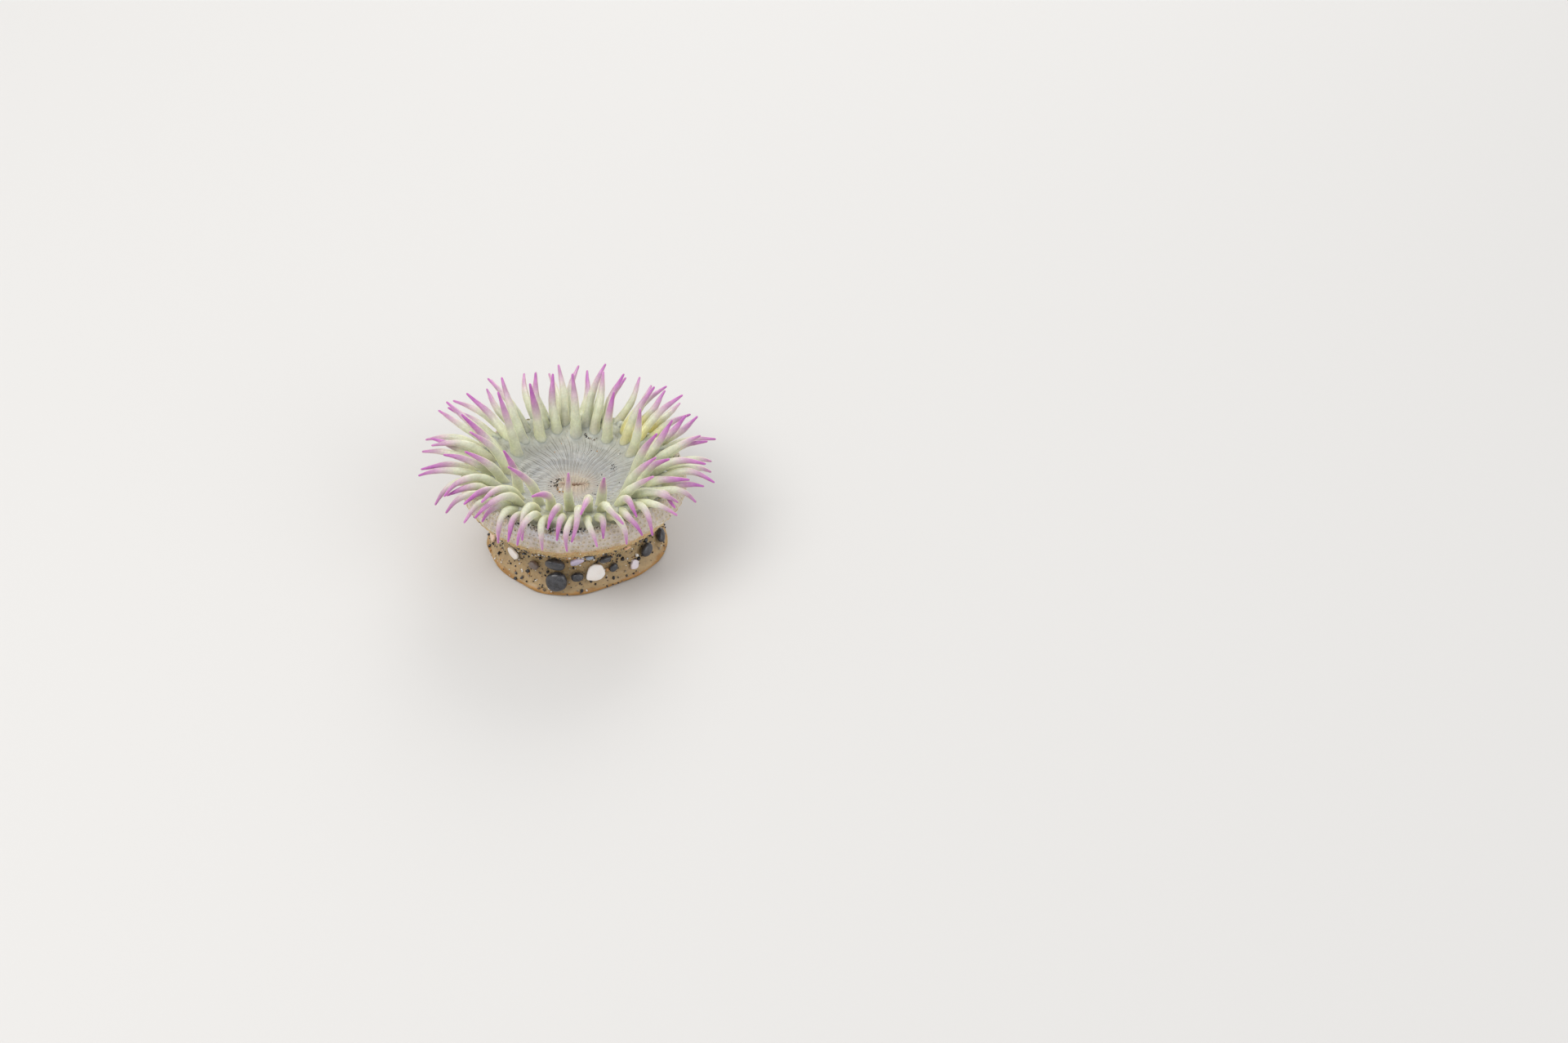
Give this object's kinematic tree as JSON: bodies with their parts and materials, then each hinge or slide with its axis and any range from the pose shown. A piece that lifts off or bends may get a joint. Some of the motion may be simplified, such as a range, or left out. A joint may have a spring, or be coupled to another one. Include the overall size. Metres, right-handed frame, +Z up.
{
  "type": "sea anemone",
  "caption": "Still model of an open aggregating sea anemone: flat foot, warty column with pebbles and shell stuck on, dished oral disc with a mouth, and a crown of pink-tipped tentacles.",
  "frame": {"origin": "middle of the pedal disc's flat underside, on the floor", "axes": "+Z up from the foot to the crown, -Y towards the animal's front, where the tentacles curl over the collar, +X to the right"},
  "size_m": [0.0831, 0.0816, 0.0441],
  "materials": {
    "skin": "wet, soft, slightly see-through skin",
    "pebble": "smooth wet beach pebble",
    "shell": "chalky to pearly broken shell"
  },
  "bodies": {
    "root": {"pedal_disc": "skin", "column_lower": "skin", "column_upper": "skin", "collar": "skin", "oral_disc": "skin", "mouth": "skin", "tentacles_01": "skin", "tentacles_02": "skin", "tentacles_03": "skin", "tentacles_04": "skin", "tentacles_05": "skin", "tentacles_06": "skin", "tentacles_07": "skin", "tentacles_08": "skin", "pebble_01": "pebble", "pebble_02": "pebble", "pebble_03": "pebble", "pebble_04": "pebble", "pebble_05": "pebble", "pebble_06": "pebble", "pebble_07": "pebble", "pebble_08": "pebble", "pebble_09": "pebble", "pebble_10": "pebble", "pebble_11": "pebble", "pebble_12": "pebble", "shell_bit_01": "shell", "shell_bit_02": "shell", "shell_bit_03": "shell", "shell_bit_04": "shell", "shell_bit_05": "shell", "shell_bit_06": "shell", "shell_bit_07": "shell", "shell_bit_08": "shell", "shell_bit_09": "shell"}
  },
  "joints": []
}
